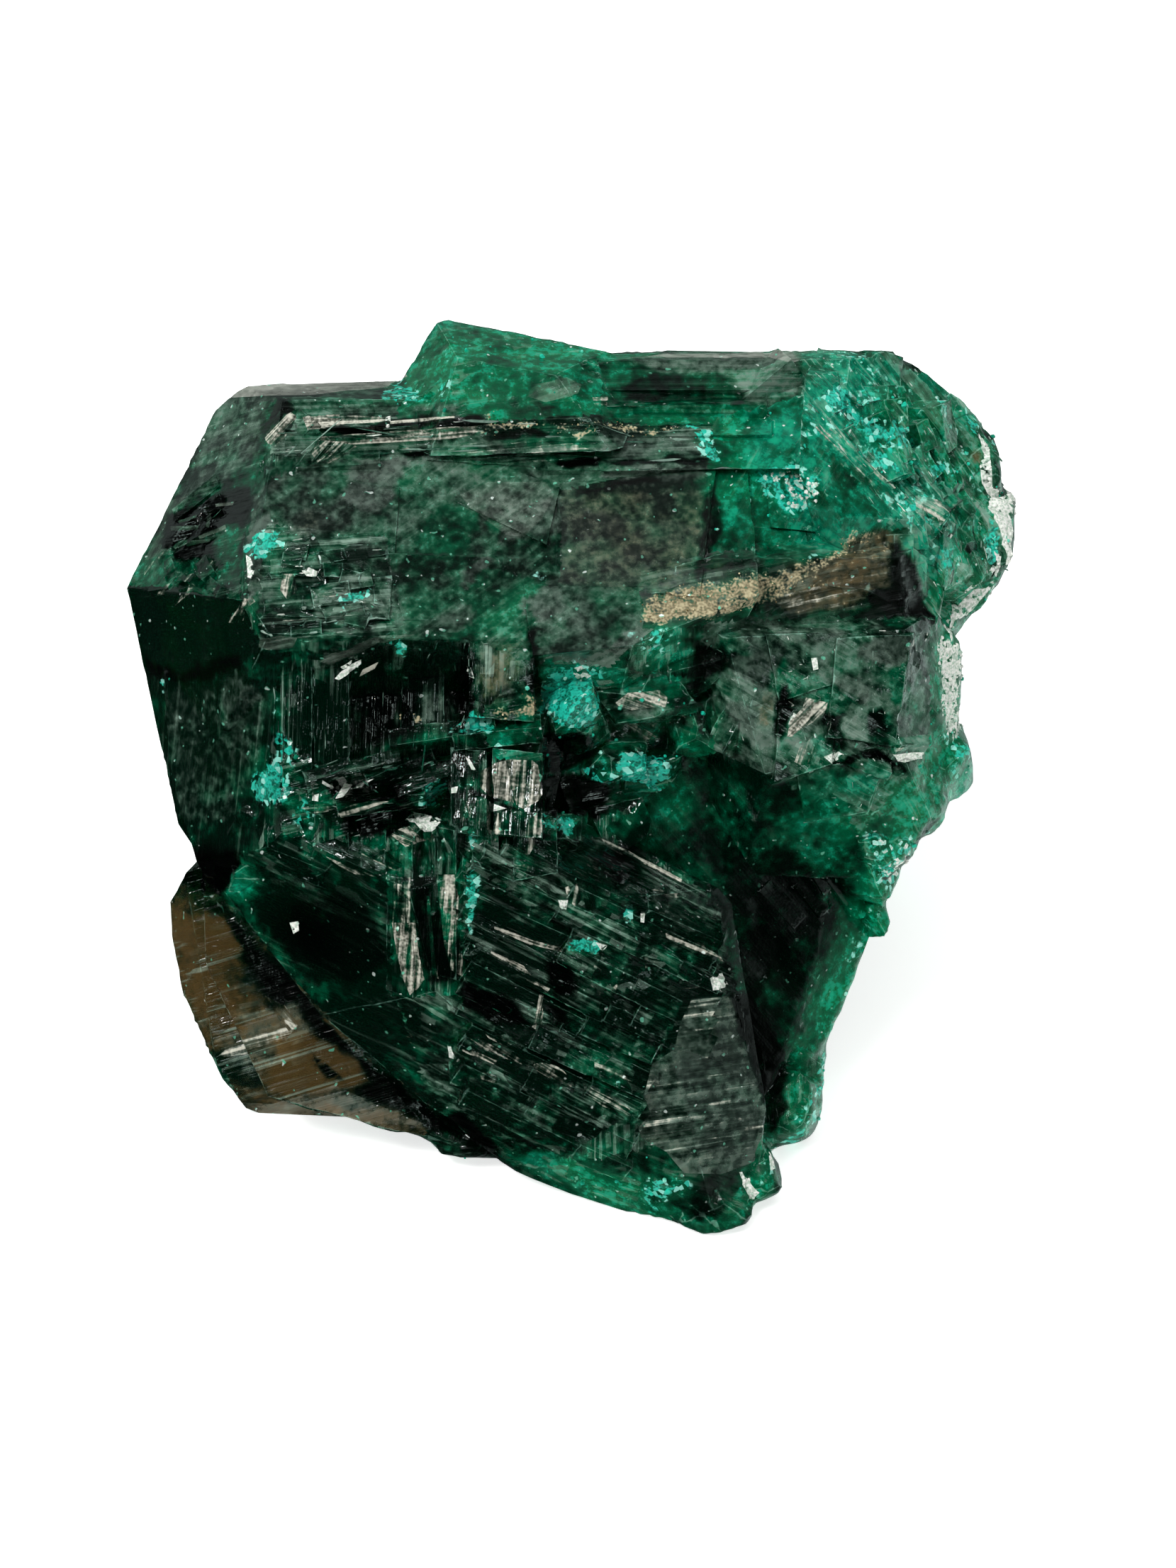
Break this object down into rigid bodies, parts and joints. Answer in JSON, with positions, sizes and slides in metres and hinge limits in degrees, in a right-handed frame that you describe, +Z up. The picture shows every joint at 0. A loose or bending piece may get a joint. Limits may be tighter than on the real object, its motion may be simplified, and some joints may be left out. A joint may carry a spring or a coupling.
{
  "type": "dioptase crystal specimen",
  "caption": "Deep green, glassy chunk of intergrown dioptase crystals with striated flat faces, broken ledges and a rough crust, resting on a flat broken underside",
  "frame": {"origin": "on the surface the stone rests on, under the middle of its box", "axes": "+Z up out of the surface; the stone's broad sloping front, which the picture looks down on, faces -Y; +X is to the viewer's right"},
  "size_m": [0.0202, 0.0178, 0.0144],
  "materials": {
    "dioptase": "glassy, see-through in thin parts, with striated and broken faces"
  },
  "bodies": {
    "root": {"dioptase_cluster": "dioptase"}
  },
  "joints": []
}
